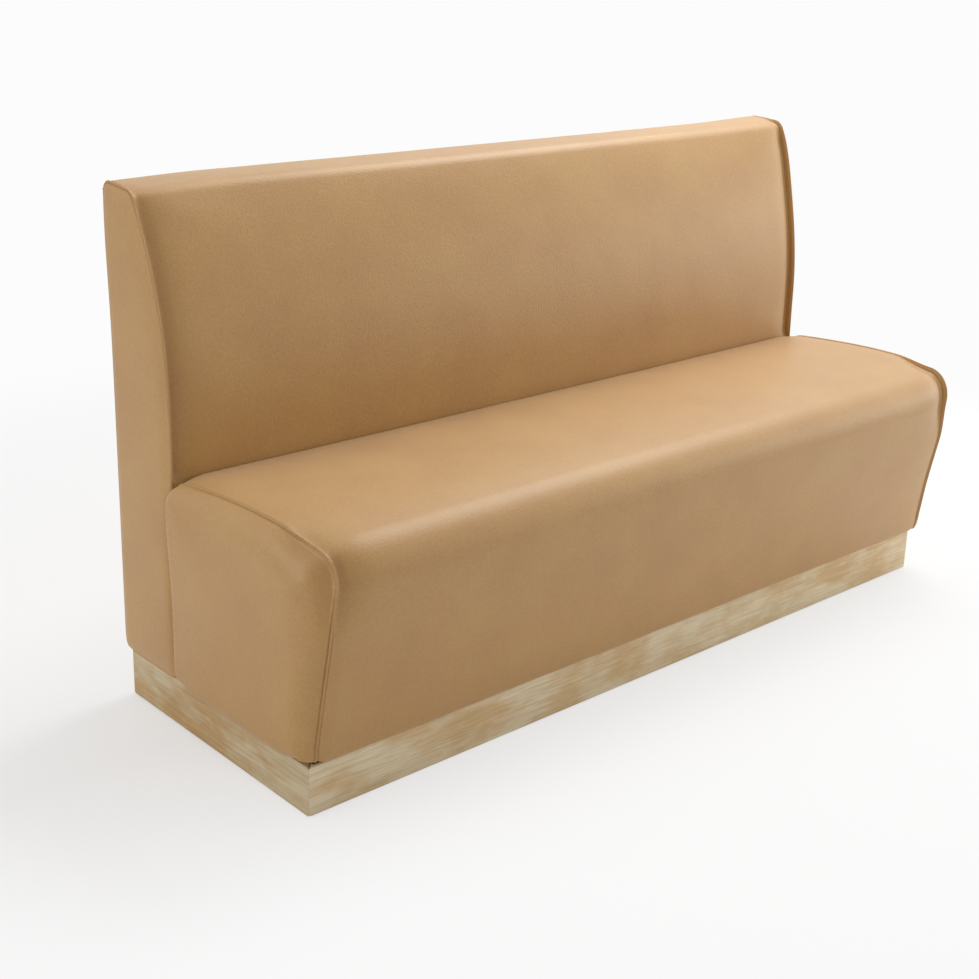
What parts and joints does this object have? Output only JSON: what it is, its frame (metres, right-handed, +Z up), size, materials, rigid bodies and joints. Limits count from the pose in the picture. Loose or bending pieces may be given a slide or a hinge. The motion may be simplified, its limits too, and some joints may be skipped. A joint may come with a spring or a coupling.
{
  "type": "booth bench",
  "caption": "Straight one-sided upholstered booth bench: a raked seat unit and a curved, leaning back unit on a low oak plinth with levelling glides.",
  "frame": {"origin": "on the floor, under the middle of the bench's length and depth", "axes": "+X along the bench, -Y the side that people sit on, +Z up"},
  "size_m": [1.656, 0.6117, 0.926],
  "materials": {
    "tan_leather": "satin",
    "limed_oak": "matte",
    "plywood": "matte",
    "softwood": "matte",
    "foam": "matte",
    "dust_cloth": "matte",
    "zinc_steel": "satin",
    "black_nylon": "matte"
  },
  "bodies": {
    "bench": {"back_base_board": "plywood", "back_cover_front": "tan_leather", "back_cover_left": "tan_leather", "back_cover_rear": "tan_leather", "back_cover_right": "tan_leather", "back_dust_cover": "dust_cloth", "back_end_panel_left": "plywood", "back_end_panel_right": "plywood", "back_facing": "plywood", "back_foam_front": "foam", "back_foam_left": "foam", "back_foam_right": "foam", "back_joint_rail": "softwood", "back_lumbar_rail": "softwood", "back_rear_board": "plywood", "back_rib_1": "plywood", "back_rib_2": "plywood", "back_rib_3": "plywood", "back_top_rail": "softwood", "glide_blocks": "softwood", "glide_plates": "zinc_steel", "joint_bolts": "zinc_steel", "nuts": "zinc_steel", "plinth_bolts": "zinc_steel", "plinth_cleats": "softwood", "plinth_cross_rail_1": "softwood", "plinth_cross_rail_2": "softwood", "plinth_cross_rail_3": "softwood", "plinth_front": "limed_oak", "plinth_left": "limed_oak", "plinth_rear": "limed_oak", "plinth_right": "limed_oak", "seat_base_rail_front": "softwood", "seat_base_rail_rear": "softwood", "seat_cover_left": "tan_leather", "seat_cover_main": "tan_leather", "seat_cover_right": "tan_leather", "seat_deck": "plywood", "seat_dust_cover": "dust_cloth", "seat_end_panel_left": "plywood", "seat_end_panel_right": "plywood", "seat_foam_block": "foam", "seat_foam_front": "foam", "seat_foam_left": "foam", "seat_foam_right": "foam", "seat_front_board": "plywood", "seat_nose_rail": "softwood", "seat_rear_lining": "dust_cloth", "seat_rear_rail": "softwood", "seat_rib_1": "plywood", "seat_rib_2": "plywood", "seat_rib_3": "plywood"},
    "glide_front_left": {"glide_foot_front_left": "black_nylon", "glide_stem_front_left": "zinc_steel"},
    "glide_front_right": {"glide_foot_front_right": "black_nylon", "glide_stem_front_right": "zinc_steel"},
    "glide_rear_left": {"glide_foot_rear_left": "black_nylon", "glide_stem_rear_left": "zinc_steel"},
    "glide_rear_right": {"glide_foot_rear_right": "black_nylon", "glide_stem_rear_right": "zinc_steel"}
  },
  "joints": [
    {"name": "level_front_left", "type": "slide", "parent": "bench", "child": "glide_front_left", "axis": [0, 0, -1], "range_m": [0, 0.012]},
    {"name": "level_front_right", "type": "slide", "parent": "bench", "child": "glide_front_right", "axis": [0, 0, -1], "range_m": [0, 0.012]},
    {"name": "level_rear_left", "type": "slide", "parent": "bench", "child": "glide_rear_left", "axis": [0, 0, -1], "range_m": [0, 0.012]},
    {"name": "level_rear_right", "type": "slide", "parent": "bench", "child": "glide_rear_right", "axis": [0, 0, -1], "range_m": [0, 0.012]}
  ]
}
